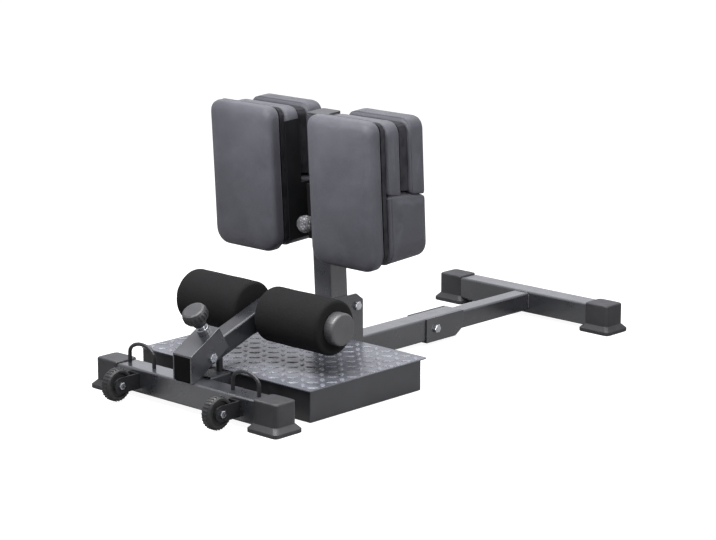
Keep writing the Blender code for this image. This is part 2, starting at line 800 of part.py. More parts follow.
def cushion(name, side, low, high, seat, face, edges, crown, parent):
    # padded block: flat where it sits on its board, softly crowned on the open face,
    # widest at mid depth and drawn in where the cover is pulled round to the seat
    depth = abs(face - seat)
    way = 1.0 if face > seat else -1.0
    seat_edge, edge = edges
    top = depth - crown
    rows = []
    for i in range(4):
        angle = math.pi / 2 * i / 3
        rows.append((seat_edge * (1 - math.sin(angle)), seat_edge * (1 - math.cos(angle))))
    for i in range(4):
        angle = math.pi / 2 * i / 3
        rows.append((edge * (1 - math.cos(angle)), top - edge * (1 - math.sin(angle))))
    if crown > 0.0:
        rows += [(edge + 0.014, top + crown * 0.55), (edge + 0.030, top + crown * 0.88), (edge + 0.044, depth)]
    loops = []
    for inset, out in rows:
        loops.append(pad_loop(side, low, high, inset, seat + way * out))
    return add_piece(name, loft(loops), vinyl, parent, round_piece=True)


def pad_board(name, side, low, high, y0, y1, parent):
    loops = [pad_loop(side, low, high, board_inset, y) for y in (y0, y1)]
    return add_piece(name, loft(loops), board_wood, parent)


def build_base(shop):
    crossbar("front_tube", front_bar_y, front_half, shop)
    crossbar("rear_tube", rear_bar_y, rear_half, shop)
    for word, side in (("left", -1.0), ("right", 1.0)):
        end_cap("front_cap_" + word, front_bar_y, front_half, side, shop)
        end_cap("rear_cap_" + word, rear_bar_y, rear_half, side, shop)
        tray_side("tray_" + word, side, shop)
        wheel("wheel_" + word, side, shop)
        wheel_bracket("wheel_bracket_" + word, side, shop)
        wheel_bolt("wheel_bolt_" + word, side, shop)
        band_loop("band_loop_" + word, side, shop)
    front_rail(shop)
    rail_collar(shop)
    rail_liner(shop)
    rear_rail(shop)
    rail_bolt(shop)
    foot_plate(shop)
    tray_end("tray_front", tray_front_y, bar / 2 + gap, shop)
    tray_end("tray_rear", tray_rear_y - tray_sheet, bar / 2 + collar_wall + 3 * gap, shop)


def build_rollers(shop):
    roller_bracket(shop)
    bracket_plug(shop)
    arm_bolt(shop)
    rest_post(shop)
    arm = add_frame("arm_frame", (0.0, pivot_y, pivot_z), arm_slope, shop)
    roller_arm(arm)
    tube_plug("roller_arm_plug", "y", slim_bar, arm_rear, arm_plug_deep, arm_plug_thick, arm)
    roller_axle(arm)
    for word, side in (("left", -1.0), ("right", 1.0)):
        roller_foam("roller_foam_" + word, side, arm)
        roller_hub("roller_hub_" + word, side, arm)
    screw = add_frame("screw_frame", (0.0, screw_y, web_top(screw_y)), bracket_slope, shop)
    screw_collar(screw)
    screw_shaft(screw)
    screw_knob(screw)


def build_post(shop):
    post_plate("post_plate_left", -1.0, shop)
    post_plate("post_plate_right", 1.0, shop)
    for word, y, z in post_bolt_spots:
        post_bolt(word, y, z, shop)
    lean = add_frame("post_frame", (0.0, post_y, post_foot_z), post_lean, shop)
    post_tube(lean)
    tube_plug("post_cap", "z", bar, post_top, post_cap_deep, post_cap_thick, lean)
    pad_carriage(lean)
    pin_collar(lean)
    pull_pin(lean)
    return lean


def build_pads(lean):
    foot = (pad_low, pad_corner_low, 0.0)
    head = (pad_high, pad_corner_high, 0.0)
    back_head = (pad_back_high, pad_corner_high, 0.0)
    under_seam = (pad_split_low, pad_corner_seam, pad_split_slope)
    over_seam = (pad_split_high, pad_corner_seam, pad_split_slope)
    front = (front_seat_edge, front_edge)
    back = (back_seat_edge, back_edge)
    middle = (back_seat_edge, back_seat_edge)
    for word, side in (("left", -1.0), ("right", 1.0)):
        pad_board("front_board_" + word, side, foot, head, front_board_front, front_board_back, lean)
        cushion("front_cushion_" + word, side, foot, head, front_board_front - gap, pad_front, front,
                pad_crown, lean)
        cushion("middle_cushion_" + word, side, over_seam, back_head, front_board_back + gap,
                upper_board_front - gap, middle, 0.0, lean)
        pad_board("upper_board_" + word, side, over_seam, back_head, upper_board_front, upper_board_back,
                  lean)
        cushion("rear_cushion_" + word, side, over_seam, back_head, upper_board_back + gap, pad_rear, back,
                back_crown, lean)
        cushion("lower_cushion_" + word, side, foot, under_seam, front_board_back + gap, pad_rear, back,
                back_crown, lean)


empty_scene()
shop_frame = add_frame("machine_frame", (0.0, -middle_y, 0.0), 0.0)
build_base(shop_frame)
build_rollers(shop_frame)
build_pads(build_post(shop_frame))
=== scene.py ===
import json
import math

import bmesh
import bpy
from mathutils import Matrix, Vector, noise
from mathutils.bvhtree import BVHTree


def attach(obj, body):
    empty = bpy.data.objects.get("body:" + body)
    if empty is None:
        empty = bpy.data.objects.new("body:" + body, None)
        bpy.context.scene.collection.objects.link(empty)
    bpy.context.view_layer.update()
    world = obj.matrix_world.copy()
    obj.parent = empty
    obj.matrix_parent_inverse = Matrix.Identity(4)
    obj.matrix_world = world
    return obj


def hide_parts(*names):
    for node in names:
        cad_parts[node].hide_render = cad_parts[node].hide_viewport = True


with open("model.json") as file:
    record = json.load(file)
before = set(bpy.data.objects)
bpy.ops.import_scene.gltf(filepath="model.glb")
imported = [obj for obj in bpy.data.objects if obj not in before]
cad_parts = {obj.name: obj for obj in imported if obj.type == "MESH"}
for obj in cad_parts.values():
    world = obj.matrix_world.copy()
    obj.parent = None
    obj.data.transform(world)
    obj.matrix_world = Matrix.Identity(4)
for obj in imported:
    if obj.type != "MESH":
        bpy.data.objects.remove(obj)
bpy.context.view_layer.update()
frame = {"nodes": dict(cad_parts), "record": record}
nodes = frame["nodes"]
print("frame loaded:", len(nodes), "nodes")

# lengths along the machine are taken from the front crossbar, as in the CAD; its middle is here
middleY = 0.5138

# where the leaning parts start, as in the CAD, and by how many degrees they lean
leaning = {
    "post": {"y": 0.4256, "z": 0.064, "lean": 3.0},
    "arm": {"y": 0.0565, "z": 0.104, "lean": 19.57},
    "screw": {"y": 0.060, "z": 0.1156, "lean": 30.4},
}


def leaningFrame(spec, rise=0.0):
    place = Matrix.Translation((0, spec["y"] - middleY, spec["z"] + rise))
    return place @ Matrix.Rotation(math.radians(spec["lean"]), 4, "X")


leanFrame = leaningFrame(leaning["post"])
armFrame = leaningFrame(leaning["arm"])
# the bracket's sloping web has risen this far where the screw goes through it
webRise = leaning["screw"]["y"] * math.tan(math.radians(leaning["screw"]["lean"]))
screwFrame = leaningFrame(leaning["screw"], webRise)


def startMaterial(name, colour, roughness, metallic=0.0):
    mat = bpy.data.materials.new(name)
    mat.use_nodes = True
    tree = mat.node_tree
    skin = tree.nodes["Principled BSDF"]
    skin.inputs["Base Color"].default_value = (*colour, 1)
    skin.inputs["Roughness"].default_value = roughness
    skin.inputs["Metallic"].default_value = metallic
    place = tree.nodes.new("ShaderNodeTexCoord").outputs["Object"]
    return mat, tree, skin, place


def noiseMap(tree, place, scale, detail=4.0, distortion=0.0):
    tex = tree.nodes.new("ShaderNodeTexNoise")
    tex.inputs["Scale"].default_value = scale
    tex.inputs["Detail"].default_value = detail
    tex.inputs["Distortion"].default_value = distortion
    tree.links.new(place, tex.inputs["Vector"])
    return tex.outputs["Fac"]


def cellMap(tree, place, scale, feature="F1"):
    tex = tree.nodes.new("ShaderNodeTexVoronoi")
    tex.feature = feature
    tex.inputs["Scale"].default_value = scale
    tree.links.new(place, tex.inputs["Vector"])
    return tex.outputs["Distance"]


def waveMap(tree, place, scale, detail=2.0, distortion=0.0):
    tex = tree.nodes.new("ShaderNodeTexWave")
    tex.inputs["Scale"].default_value = scale
    tex.inputs["Detail"].default_value = detail
    tex.inputs["Distortion"].default_value = distortion
    tree.links.new(place, tex.inputs["Vector"])
    return tex.outputs["Fac"]


def rangeMap(tree, value, low, high, toLow, toHigh):
    step = tree.nodes.new("ShaderNodeMapRange")
    step.inputs["From Min"].default_value = low
    step.inputs["From Max"].default_value = high
    step.inputs["To Min"].default_value = toLow
    step.inputs["To Max"].default_value = toHigh
    tree.links.new(value, step.inputs["Value"])
    return step.outputs["Result"]


def spread(tree, value, toLow, toHigh):
    # a noise keeps near its middle, so its middle part is what is spread out
    return rangeMap(tree, value, 0.3, 0.7, toLow, toHigh)


def mixColour(tree, amount, low, high):
    # the mix node's colour sockets have no names of their own: 6 and 7 go in, 2 comes out
    mix = tree.nodes.new("ShaderNodeMix")
    mix.data_type = "RGBA"
    for socket, colour in ((6, low), (7, high)):
        if isinstance(colour, tuple):
            mix.inputs[socket].default_value = (*colour, 1)
        else:
            tree.links.new(colour, mix.inputs[socket])
    tree.links.new(amount, mix.inputs[0])
    return mix.outputs[2]


def bumpOn(tree, height, strength, distance, normal=None):
    bump = tree.nodes.new("ShaderNodeBump")
    bump.inputs["Strength"].default_value = strength
    bump.inputs["Distance"].default_value = distance
    tree.links.new(height, bump.inputs["Height"])
    if normal is not None:
        tree.links.new(normal, bump.inputs["Normal"])
    return bump.outputs["Normal"]


def softEdge(tree, radius):
    edge = tree.nodes.new("ShaderNodeBevel")
    edge.samples = 4
    edge.inputs["Radius"].default_value = radius
    return edge.outputs["Normal"]


def edgeMask(tree, edge, low=0.90, high=0.995):
    # 1 on the arris, 0 on the flats, from how far the bevelled normal turns away
    geo = tree.nodes.new("ShaderNodeNewGeometry")
    dot = tree.nodes.new("ShaderNodeVectorMath")
    dot.operation = "DOT_PRODUCT"
    tree.links.new(edge, dot.inputs[0])
    tree.links.new(geo.outputs["True Normal"], dot.inputs[1])
    return rangeMap(tree, dot.outputs["Value"], low, high, 1.0, 0.0)


# hard finishes. cloud and uneven are a noise's scale, detail and distortion. patches says between which
# values the cloud brings in the lighter colour, and how much of it at most: wear that tones the surface at
# random.
# On the arrises the same lighter colour is edge wear and also a painted highlight. uneven takes the roughness
# down and up by roughRun. grain is the fine relief's map, and relief its strength and depth
powderCoat = {
    "colour": (0.015, 0.0155, 0.019), "wearAndHighlight": (0.060, 0.062, 0.072),
    "cloud": (9, 3), "patches": (0.3, 0.7, 0.35), "edge": 0.0011, "edgeWearAndHighlight": 0.55,
    "roughness": 0.30, "roughRun": (0.06, 0.08), "uneven": (34, 5), "shine": 0.8,
    "gloss": 0.75, "glossRoughness": 0.20, "grain": (noiseMap, 620, 2), "relief": (0.22, 0.0003),
}
# a darker, duller copy of the powder coat: painted shade on the wheel brackets, the rest post, the band loops
# and the tray's front wall
paintedShadeBracket = {
    **powderCoat, "colour": (0.007, 0.007, 0.008), "wearAndHighlight": (0.030, 0.031, 0.035),
    "roughness": 0.42, "shine": 0.35, "gloss": 0.10, "edge": 0.0008,
}
# a near-black, dull copy of the powder coat: painted shade on the pad carriage, deep between the pads
paintedShadeCarriage = {
    **powderCoat, "colour": (0.004, 0.004, 0.0045), "wearAndHighlight": (0.016, 0.0165, 0.019),
    "roughness": 0.46, "shine": 0.20, "gloss": 0.03, "edge": 0.0008,
}
# a lighter, glossier copy of the powder coat: painted light on the post
paintedLightPost = {
    **powderCoat, "colour": (0.026, 0.0265, 0.031), "wearAndHighlight": (0.080, 0.082, 0.094),
    "shine": 0.9, "gloss": 0.9,
}
# a darker copy of the powder coat: painted shade on the roller arm
paintedShadeArm = {
    **powderCoat, "colour": (0.007, 0.0073, 0.009), "wearAndHighlight": (0.050, 0.052, 0.060),
    "roughness": 0.28, "shine": 0.35, "gloss": 0.40,
}
# a slightly darker, duller copy of the powder coat: painted shade on the tray's sides and rear wall
paintedShadeTray = {
    **powderCoat, "colour": (0.013, 0.0135, 0.0165), "wearAndHighlight": (0.050, 0.052, 0.060),
    "roughness": 0.34, "shine": 0.45, "gloss": 0.28,
}
treadCoat = {
    "colour": (0.058, 0.060, 0.073), "wearAndHighlight": (0.115, 0.12, 0.142),
    "cloud": (16, 6, 0.4), "patches": (0.35, 0.65, 0.6), "edge": 0.0008, "edgeWearAndHighlight": 1.0,
    "roughness": 0.25, "roughRun": (0.05, 0.08), "uneven": (60, 4), "shine": 0.85,
    "grain": (noiseMap, 480, 3), "relief": (0.2, 0.0003),
}
# a paler copy of the plate's coat for the raised lozenges: painted highlight on them
paintedHighlightRidge = {
    **treadCoat, "colour": (0.118, 0.122, 0.143), "wearAndHighlight": (0.21, 0.215, 0.245), "roughness": 0.33,
}
zincPlate = {
    "colour": (0.62, 0.63, 0.66), "wearAndHighlight": (0.40, 0.41, 0.44), "metallic": 1.0,
    "cloud": (130, 5, 0.6), "patches": (0.35, 0.7, 0.8), "edge": 0.0005,
    "roughness": 0.27, "roughRun": (0.07, 0.11), "uneven": (300, 3),
    "grain": (noiseMap, 1400, 2), "relief": (0.1, 0.0002),
}
brightCollar = {**zincPlate, "colour": (0.34, 0.345, 0.36), "wearAndHighlight": (0.20, 0.205, 0.22)}
mouldedPlastic = {
    "colour": (0.018, 0.018, 0.020), "wearAndHighlight": (0.048, 0.048, 0.053),
    "cloud": (22, 4), "patches": (0.3, 0.7, 0.4), "edge": 0.0010, "edgeWearAndHighlight": 0.5,
    "roughness": 0.48, "roughRun": (0.05, 0.07), "uneven": (80, 3), "shine": 0.42,
    "grain": (cellMap, 1300), "relief": (0.18, 0.0002),
}
# near-black and dull: painted shade on the plug in the open end of the bracket's tube
paintedShadeSocket = {
    **mouldedPlastic, "colour": (0.004, 0.004, 0.004), "wearAndHighlight": (0.010, 0.010, 0.011),
    "roughness": 0.8, "shine": 0.05, "grain": (cellMap, 900), "edge": 0.0006,
}
hubPlastic = {
    **mouldedPlastic, "colour": (0.040, 0.040, 0.042), "wearAndHighlight": (0.085, 0.085, 0.090),
    "roughness": 0.36, "shine": 0.7, "grain": (cellMap, 1100), "edge": 0.0012,
}
wheelRubber = {
    "colour": (0.006, 0.006, 0.0065), "wearAndHighlight": (0.022, 0.022, 0.023),
    "cloud": (90, 5, 0.5), "patches": (0.45, 0.75, 0.8), "edge": 0.0008,
    "roughness": 0.55, "roughRun": (0.10, 0.10), "uneven": (90, 5, 0.5),
    "grain": (noiseMap, 700, 3), "relief": (0.2, 0.0003),
}


def makeHard(name, spec):
    rough = spec["roughness"]
    mat, tree, skin, place = startMaterial(name, spec["colour"], rough, spec.get("metallic", 0.0))
    edge = softEdge(tree, spec["edge"])
    low, high, most = spec["patches"]
    patches = rangeMap(tree, noiseMap(tree, place, *spec["cloud"]), low, high, 0.0, most)
    tone = mixColour(tree, patches, spec["colour"], spec["wearAndHighlight"])
    # the arrises take the lighter colour: edge wear, and also a painted highlight along them
    if "edgeWearAndHighlight" in spec:
        wornAndLitEdge = rangeMap(tree, edgeMask(tree, edge), 0, 1, 0, spec["edgeWearAndHighlight"])
        tone = mixColour(tree, wornAndLitEdge, tone, spec["wearAndHighlight"])
    tree.links.new(tone, skin.inputs["Base Color"])
    smoother, rougher = spec["roughRun"]
    uneven = spread(tree, noiseMap(tree, place, *spec["uneven"]), rough - smoother, rough + rougher)
    tree.links.new(uneven, skin.inputs["Roughness"])
    grainMap, *grain = spec["grain"]
    finish = bumpOn(tree, grainMap(tree, place, *grain), *spec["relief"], edge)
    tree.links.new(finish, skin.inputs["Normal"])
    if "shine" in spec:
        skin.inputs["Specular IOR Level"].default_value = spec["shine"]
    if "gloss" in spec:
        skin.inputs["Coat Weight"].default_value = spec["gloss"]
        skin.inputs["Coat Roughness"].default_value = spec["glossRoughness"]
        tree.links.new(finish, skin.inputs["Coat Normal"])
    return mat


rollerFoam = {
    "colour": (0.0085, 0.0085, 0.009), "poreShade": (0.003, 0.003, 0.003), "roughness": 0.93, "shine": 0.14,
    "poreScale": 520, "poreRim": (0.05, 0.55), "poreShadeAmount": 0.9, "poreRelief": (0.55, 0.0006),
    "swell": (45, 3), "swellRelief": (0.25, 0.0015),
}


def makeFoam(name, spec):
    mat, tree, skin, place = startMaterial(name, spec["colour"], spec["roughness"])
    skin.inputs["Specular IOR Level"].default_value = spec["shine"]
    pores = cellMap(tree, place, spec["poreScale"])
    # the pores are painted darker: painted shade in them
    poreShadeMask = rangeMap(tree, pores, *spec["poreRim"], spec["poreShadeAmount"], 0.0)
    tree.links.new(mixColour(tree, poreShadeMask, spec["colour"], spec["poreShade"]), skin.inputs["Base Color"])
    swell = bumpOn(tree, noiseMap(tree, place, *spec["swell"]), *spec["swellRelief"])
    tree.links.new(bumpOn(tree, pores, *spec["poreRelief"], swell), skin.inputs["Normal"])
    return mat


padVinyl = {
    "colour": (0.0545, 0.0545, 0.0655), "mottleAndCreaseShade": (0.033, 0.033, 0.040),
    "roughness": 0.43, "roughRange": (0.41, 0.54), "uneven": (40, 4), "shine": 0.20,
    "sheen": 0.04, "sheenRoughness": 0.45, "cloud": (14, 4, 0.3), "patches": (0.35, 0.65, 0.6),
    "grainScale": 620, "creaseWidth": 0.16, "creaseShadeAmount": 0.55, "grainWidth": 0.22,
    "grainRelief": (0.30, 0.00045), "fold": (22, 4, 1.2), "foldRelief": (0.22, 0.004),
}


def makeVinyl(name, spec):
    mat, tree, skin, place = startMaterial(name, spec["colour"], spec["roughness"])
    skin.inputs["Specular IOR Level"].default_value = spec["shine"]
    skin.inputs["Sheen Weight"].default_value = spec["sheen"]
    skin.inputs["Sheen Roughness"].default_value = spec["sheenRoughness"]
    cells = cellMap(tree, place, spec["grainScale"], "DISTANCE_TO_EDGE")
    low, high, most = spec["patches"]
    patches = rangeMap(tree, noiseMap(tree, place, *spec["cloud"]), low, high, 0.0, most)
    # the darker colour tones the vinyl in random patches, and is painted into the grain's creases as painted
    # shade
    tone = mixColour(tree, patches, spec["colour"], spec["mottleAndCreaseShade"])
    creaseShade = rangeMap(tree, cells, 0.0, spec["creaseWidth"], spec["creaseShadeAmount"], 0.0)
    tree.links.new(mixColour(tree, creaseShade, tone, spec["mottleAndCreaseShade"]), skin.inputs["Base Color"])
    uneven = spread(tree, noiseMap(tree, place, *spec["uneven"]), *spec["roughRange"])
    tree.links.new(uneven, skin.inputs["Roughness"])
    fold = bumpOn(tree, noiseMap(tree, place, *spec["fold"]), *spec["foldRelief"])
    grain = rangeMap(tree, cells, 0.0, spec["grainWidth"], 0.0, 1.0)
    tree.links.new(bumpOn(tree, grain, *spec["grainRelief"], fold), skin.inputs["Normal"])
    return mat


speckledKnob = {
    "colour": (0.065, 0.065, 0.071), "fleck": (0.28, 0.28, 0.30), "dark": (0.025, 0.025, 0.028),
    "roughness": 0.45, "edge": 0.001, "fleckScale": 190, "fleckRim": (0.16, 0.42),
    "pitScale": 150, "pitRim": (0.18, 0.40), "relief": (0.2, 0.0003),
}


def makeSpeckle(name, spec):
    mat, tree, skin, place = startMaterial(name, spec["colour"], spec["roughness"])
    edge = softEdge(tree, spec["edge"])
    flecks = rangeMap(tree, cellMap(tree, place, spec["fleckScale"]), *spec["fleckRim"], 1.0, 0.0)
    pits = rangeMap(tree, cellMap(tree, place, spec["pitScale"]), *spec["pitRim"], 1.0, 0.0)
    tone = mixColour(tree, flecks, spec["colour"], spec["fleck"])
    tree.links.new(mixColour(tree, pits, tone, spec["dark"]), skin.inputs["Base Color"])
    tree.links.new(bumpOn(tree, flecks, *spec["relief"], edge), skin.inputs["Normal"])
    return mat


# finishes with one wave through them: the boards' grain and the thread's twist
paintedBoard = {
    "colour": (0.009, 0.009, 0.011), "grain": (0.018, 0.018, 0.021), "roughness": 0.8,
    "shine": 0.14, "wave": (45, 3, 6), "relief": (0.25, 0.0004),
}
seamThread = {
    "colour": (0.06, 0.06, 0.065), "grain": (0.13, 0.13, 0.14), "roughness": 0.7,
    "shine": 0.5, "wave": (700,), "relief": (0.4, 0.0002),
}


def makeWaved(name, spec):
    mat, tree, skin, place = startMaterial(name, spec["colour"], spec["roughness"])
    skin.inputs["Specular IOR Level"].default_value = spec["shine"]
    wave = waveMap(tree, place, *spec["wave"])
    tree.links.new(mixColour(tree, wave, spec["colour"], spec["grain"]), skin.inputs["Base Color"])
    tree.links.new(bumpOn(tree, wave, *spec["relief"]), skin.inputs["Normal"])
    return mat


finishes = {
    "powder": makeHard("powderCoat", powderCoat),
    "bracket": makeHard("paintedShadeBracket", paintedShadeBracket),
    "carriage": makeHard("paintedShadeCarriage", paintedShadeCarriage),
    "post": makeHard("paintedLightPost", paintedLightPost),
    "arm": makeHard("paintedShadeArm", paintedShadeArm),
    "tray": makeHard("paintedShadeTray", paintedShadeTray),
    "tread": makeHard("treadCoat", treadCoat),
    "ridge": makeHard("paintedHighlightRidge", paintedHighlightRidge),
    "zinc": makeHard("zincPlate", zincPlate),
    "collar": makeHard("brightCollar", brightCollar),
    "moulded": makeHard("mouldedPlastic", mouldedPlastic),
    "socket": makeHard("paintedShadeSocket", paintedShadeSocket),
    "hub": makeHard("hubPlastic", hubPlastic),
    "wheel": makeHard("wheelRubber", wheelRubber),
    "foam": makeFoam("rollerFoam", rollerFoam),
    "vinyl": makeVinyl("padVinyl", padVinyl),
    "speckle": makeSpeckle("speckledKnob", speckledKnob),
    "board": makeWaved("paintedBoard", paintedBoard),
    "thread": makeWaved("seamThread", seamThread),
}

# each slot's finish, and the nodes that look other than the rest of their slot: the collar and hubs in
# colours of their own, the others in darker or lighter copies of their paint as painted shade or painted
# light
slotFinish = {
    "black_paint": "powder", "plate_paint": "tread", "zinc": "zinc", "moulding": "moulded",
    "foam": "foam", "wheel_tread": "wheel", "speckled_plastic": "speckle",
    "painted_board": "board", "vinyl": "vinyl",
}
ownFinish = {
    "wheel_bracket_left": "bracket", "wheel_bracket_right": "bracket", "arm_rest_post": "bracket",
    "band_loop_left": "bracket", "band_loop_right": "bracket", "tray_front": "bracket",
    "tray_rear": "tray", "tray_left": "tray", "tray_right": "tray", "pad_carriage": "carriage",
    "post_tube": "post", "roller_arm": "arm", "arm_screw_collar": "collar",
    "roller_bracket_plug": "socket", "roller_hub_left": "hub", "roller_hub_right": "hub",
}


def dressNodes():
    slots = {row["node"]: row["material_slot"] for row in frame["record"]["subparts"]}
    for name, piece in nodes.items():
        piece.data.materials.clear()
        piece.data.materials.append(finishes[ownFinish.get(name, slotFinish[slots[name]])])
    print("nodes dressed")


# edges that turn more than this stay sharp on the scene's own pieces
sharpFrom = math.radians(42)


def addObject(name, data):
    piece = bpy.data.objects.new(name, data)
    bpy.context.scene.collection.objects.link(piece)
    return piece


def addPiece(name, bm, finish, smooth=True, place=Matrix.Identity(4)):
    bmesh.ops.recalc_face_normals(bm, faces=bm.faces[:])
    bm.transform(place)
    mesh = bpy.data.meshes.new(name)
    bm.to_mesh(mesh)
    bm.free()
    if smooth:
        mesh.shade_smooth()
        mesh.set_sharp_from_angle(angle=sharpFrom)
    mesh.materials.append(finishes[finish])
    return addObject(name, mesh)


def skinLoops(loops, ring=False, into=None):
    bm = into or bmesh.new()
    rows = [[bm.verts.new(p) for p in loop] for loop in loops]
    pairs = list(zip(rows, rows[1:])) + ([(rows[-1], rows[0])] if ring else [])
    count = len(rows[0])
    for low, high in pairs:
        for i in range(count):
            j = (i + 1) % count
            bm.faces.new((low[i], low[j], high[j], high[i]))
    if not ring:
        bm.faces.new(rows[0][::-1])
        bm.faces.new(rows[-1])
    return bm


def turnedLoops(profile, sides):
    # rings round the x axis, one for each radius and place along it
    return [[(along, radius * math.cos(math.tau * i / sides), radius * math.sin(math.tau * i / sides))
             for i in range(sides)] for radius, along in profile]


def cordLoops(points, radii, sides, closed=False):
    # a round cord along a run of points, with a frame that doesn't twist
    points = [Vector(p) for p in points]
    count = len(points)
    loops = []
    side = None
    for i, (p, radius) in enumerate(zip(points, radii)):
        ahead = points[(i + 1) % count] if closed or i < count - 1 else p
        behind = points[i - 1] if closed or i > 0 else p
        way = (ahead - behind).normalized()
        if side is None:
            side = way.orthogonal().normalized()
        side = (side - way * side.dot(way)).normalized()
        up = way.cross(side)
        loop = []
        for k in range(sides):
            a = math.tau * k / sides
            loop.append(p + radius * (math.cos(a) * side + math.sin(a) * up))
        loops.append(loop)
    return loops


def evenCord(points, radius, sides, closed=False):
    return cordLoops(points, [radius] * len(points), sides, closed)


def roundRect(x0, x1, z0, z1, corner, steps, straight):
    # corner arcs with extra points along the straights, so that cords follow the cushion
    points = []
    for cx, cz, start in ((x1 - corner, z1 - corner, 0), (x0 + corner, z1 - corner, 1),
                          (x0 + corner, z0 + corner, 2), (x1 - corner, z0 + corner, 3)):
        for i in range(steps + 1):
            a = math.pi / 2 * (start + i / steps)
            points.append((cx + corner * math.cos(a), cz + corner * math.sin(a)))
    full = []
    for i, p in enumerate(points):
        q = points[(i + 1) % len(points)]
        cuts = max(1, round(math.dist(p, q) / straight))
        full += [(p[0] + (q[0] - p[0]) * k / cuts, p[1] + (q[1] - p[1]) * k / cuts) for k in range(cuts)]
    return full


pads = {
    "voxel": 0.004, "inset": 0.0016, "easeFactor": 0.5, "easeTimes": 2, "flatten": 1.35,
    # how far each cushion's seam lies from its seat; the middle one has none
    "seams": {"front": 0.0125, "rear": 0.0085, "lower": 0.0110, "middle": None},
    "seamRadius": 0.0011, "seamSides": 6, "seamCorner": 0.034, "seamCornerSteps": 8, "seamStep": 0.006,
    # how far out a ray starts that looks in at a cushion's side
    "lookFrom": 0.2,
    "stitch": 0.0032, "stitchPitch": 0.0056, "stitchRadius": 0.00045, "stitchSides": 5,
    "stitchMiddle": 0.6, "stitchShift": 0.0028,
}

# cloth pressure that swells a cushion; outward and inward are the most that it may move its surface
swelling = {
    "frames": 20, "quality": 4, "mass": 0.25, "tension": 14, "compression": 10, "bending": 1.2,
    "pressure": 4.0, "outward": 0.0028, "inward": 0.0005,
}


def evaluatedMesh(piece):
    graph = bpy.context.evaluated_depsgraph_get()
    return bpy.data.meshes.new_from_object(piece.evaluated_get(graph))


def swapMesh(piece, mesh):
    old = piece.data
    piece.modifiers.clear()
    piece.data = mesh
    bpy.data.meshes.remove(old)


def meshBox(mesh):
    return [(min(v.co[k] for v in mesh.vertices), max(v.co[k] for v in mesh.vertices)) for k in range(3)]


def fillBox(mesh, goal):
    # brings the form to a given box, axis by axis
    for k, (low, high) in enumerate(meshBox(mesh)):
        grow = (goal[k][1] - goal[k][0]) / (high - low)
        for vertex in mesh.vertices:
            vertex.co[k] = goal[k][0] + (vertex.co[k] - low) * grow


def puff(piece, spec):
    cloth = piece.modifiers.new("puff", "CLOTH")
    cloth.settings.quality = spec["quality"]
    cloth.settings.mass = spec["mass"]
    cloth.settings.tension_stiffness = spec["tension"]
    cloth.settings.compression_stiffness = spec["compression"]
    cloth.settings.bending_stiffness = spec["bending"]
    cloth.settings.use_pressure = True
    cloth.settings.uniform_pressure_force = spec["pressure"]
    cloth.settings.effector_weights.gravity = 0
    cloth.point_cache.frame_start = 1
    cloth.point_cache.frame_end = spec["frames"]
    start = [(v.co.copy(), v.normal.copy()) for v in piece.data.vertices]
    for step in range(1, spec["frames"] + 1):
        bpy.context.scene.frame_set(step)
    swollen = evaluatedMesh(piece)
    bpy.context.scene.frame_set(1)
    for vertex, (before, normal) in zip(swollen.vertices, start):
        move = vertex.co - before
        limit = spec["outward"] if move.dot(normal) > 0 else spec["inward"]
        if move.length > limit:
            vertex.co = before + move * (limit / move.length)
    swapMesh(piece, swollen)


def flattenFace(mesh, word):
    # draws the form towards its open face, for a flatter face with a crisper edge
    low, high = meshBox(mesh)[1]
    face, depth = (low, high - low) if word == "front" else (high, low - high)
    for vertex in mesh.vertices:
        vertex.co.y = face + depth * ((vertex.co.y - face) / depth) ** pads["flatten"]


def makeCushion(word):
    source = nodes[word + "_cushion_right"].data.copy()
    source.transform(leanFrame.inverted())
    goal = meshBox(source)
    cushion = addObject(word + "Cushion", source)
    fillBox(source, [(low + pads["inset"], high - pads["inset"]) for low, high in goal])
    remesh = cushion.modifiers.new("even", "REMESH")
    remesh.mode = "VOXEL"
    remesh.voxel_size = pads["voxel"]
    swapMesh(cushion, evaluatedMesh(cushion))
    puff(cushion, swelling)
    ease = cushion.modifiers.new("ease", "SMOOTH")
    ease.factor = pads["easeFactor"]
    ease.iterations = pads["easeTimes"]
    fine = cushion.modifiers.new("fine", "SUBSURF")
    fine.levels = 1
    fine.render_levels = 1
    swapMesh(cushion, evaluatedMesh(cushion))
    fillBox(cushion.data, goal)
    # the middle one has no open face
    if word != "middle":
        flattenFace(cushion.data, word)
    cushion.data.shade_smooth()
    cushion.data.materials.clear()
    cushion.data.materials.append(finishes["vinyl"])
    return cushion


def seamPath(cushion, word):
    # a closed line round the cushion's sides, found by looking in at them from outside
    (x0, x1), (y0, y1), (z0, z1) = meshBox(cushion.data)
    y = y1 - pads["seams"][word] if word == "front" else y0 + pads["seams"][word]
    tree = BVHTree.FromObject(cushion, bpy.context.evaluated_depsgraph_get())
    corner = pads["seamCorner"]
    path = []
    for x, z in roundRect(x0, x1, z0, z1, corner, pads["seamCornerSteps"], pads["seamStep"]):
        core = Vector((min(max(x, x0 + corner), x1 - corner), y, min(max(z, z0 + corner), z1 - corner)))
        away = (Vector((x, y, z)) - core).normalized()
        hit = tree.ray_cast(core + away * pads["lookFrom"], -away)
        if hit[0] is not None:
            path.append(hit[0])
    return path


def makeStitches(name, path, shift):
    # short stitches along the seam, a little to one side of it
    bm = bmesh.new()
    travelled = 0.0
    due = 0.0
    half = pads["stitch"] / 2
    for i, a in enumerate(path):
        b = path[(i + 1) % len(path)]
        reach = (b - a).length
        if reach == 0:
            continue
        way = (b - a) / reach
        while due <= travelled + reach:
            spot = a + way * (due - travelled) + shift
            run = [spot + way * half * part for part in (-1, -pads["stitchMiddle"], pads["stitchMiddle"], 1)]
            skinLoops(evenCord(run, pads["stitchRadius"], pads["stitchSides"]), into=bm)
            due += pads["stitchPitch"]
        travelled += reach
    return addPiece(name, bm, "thread")


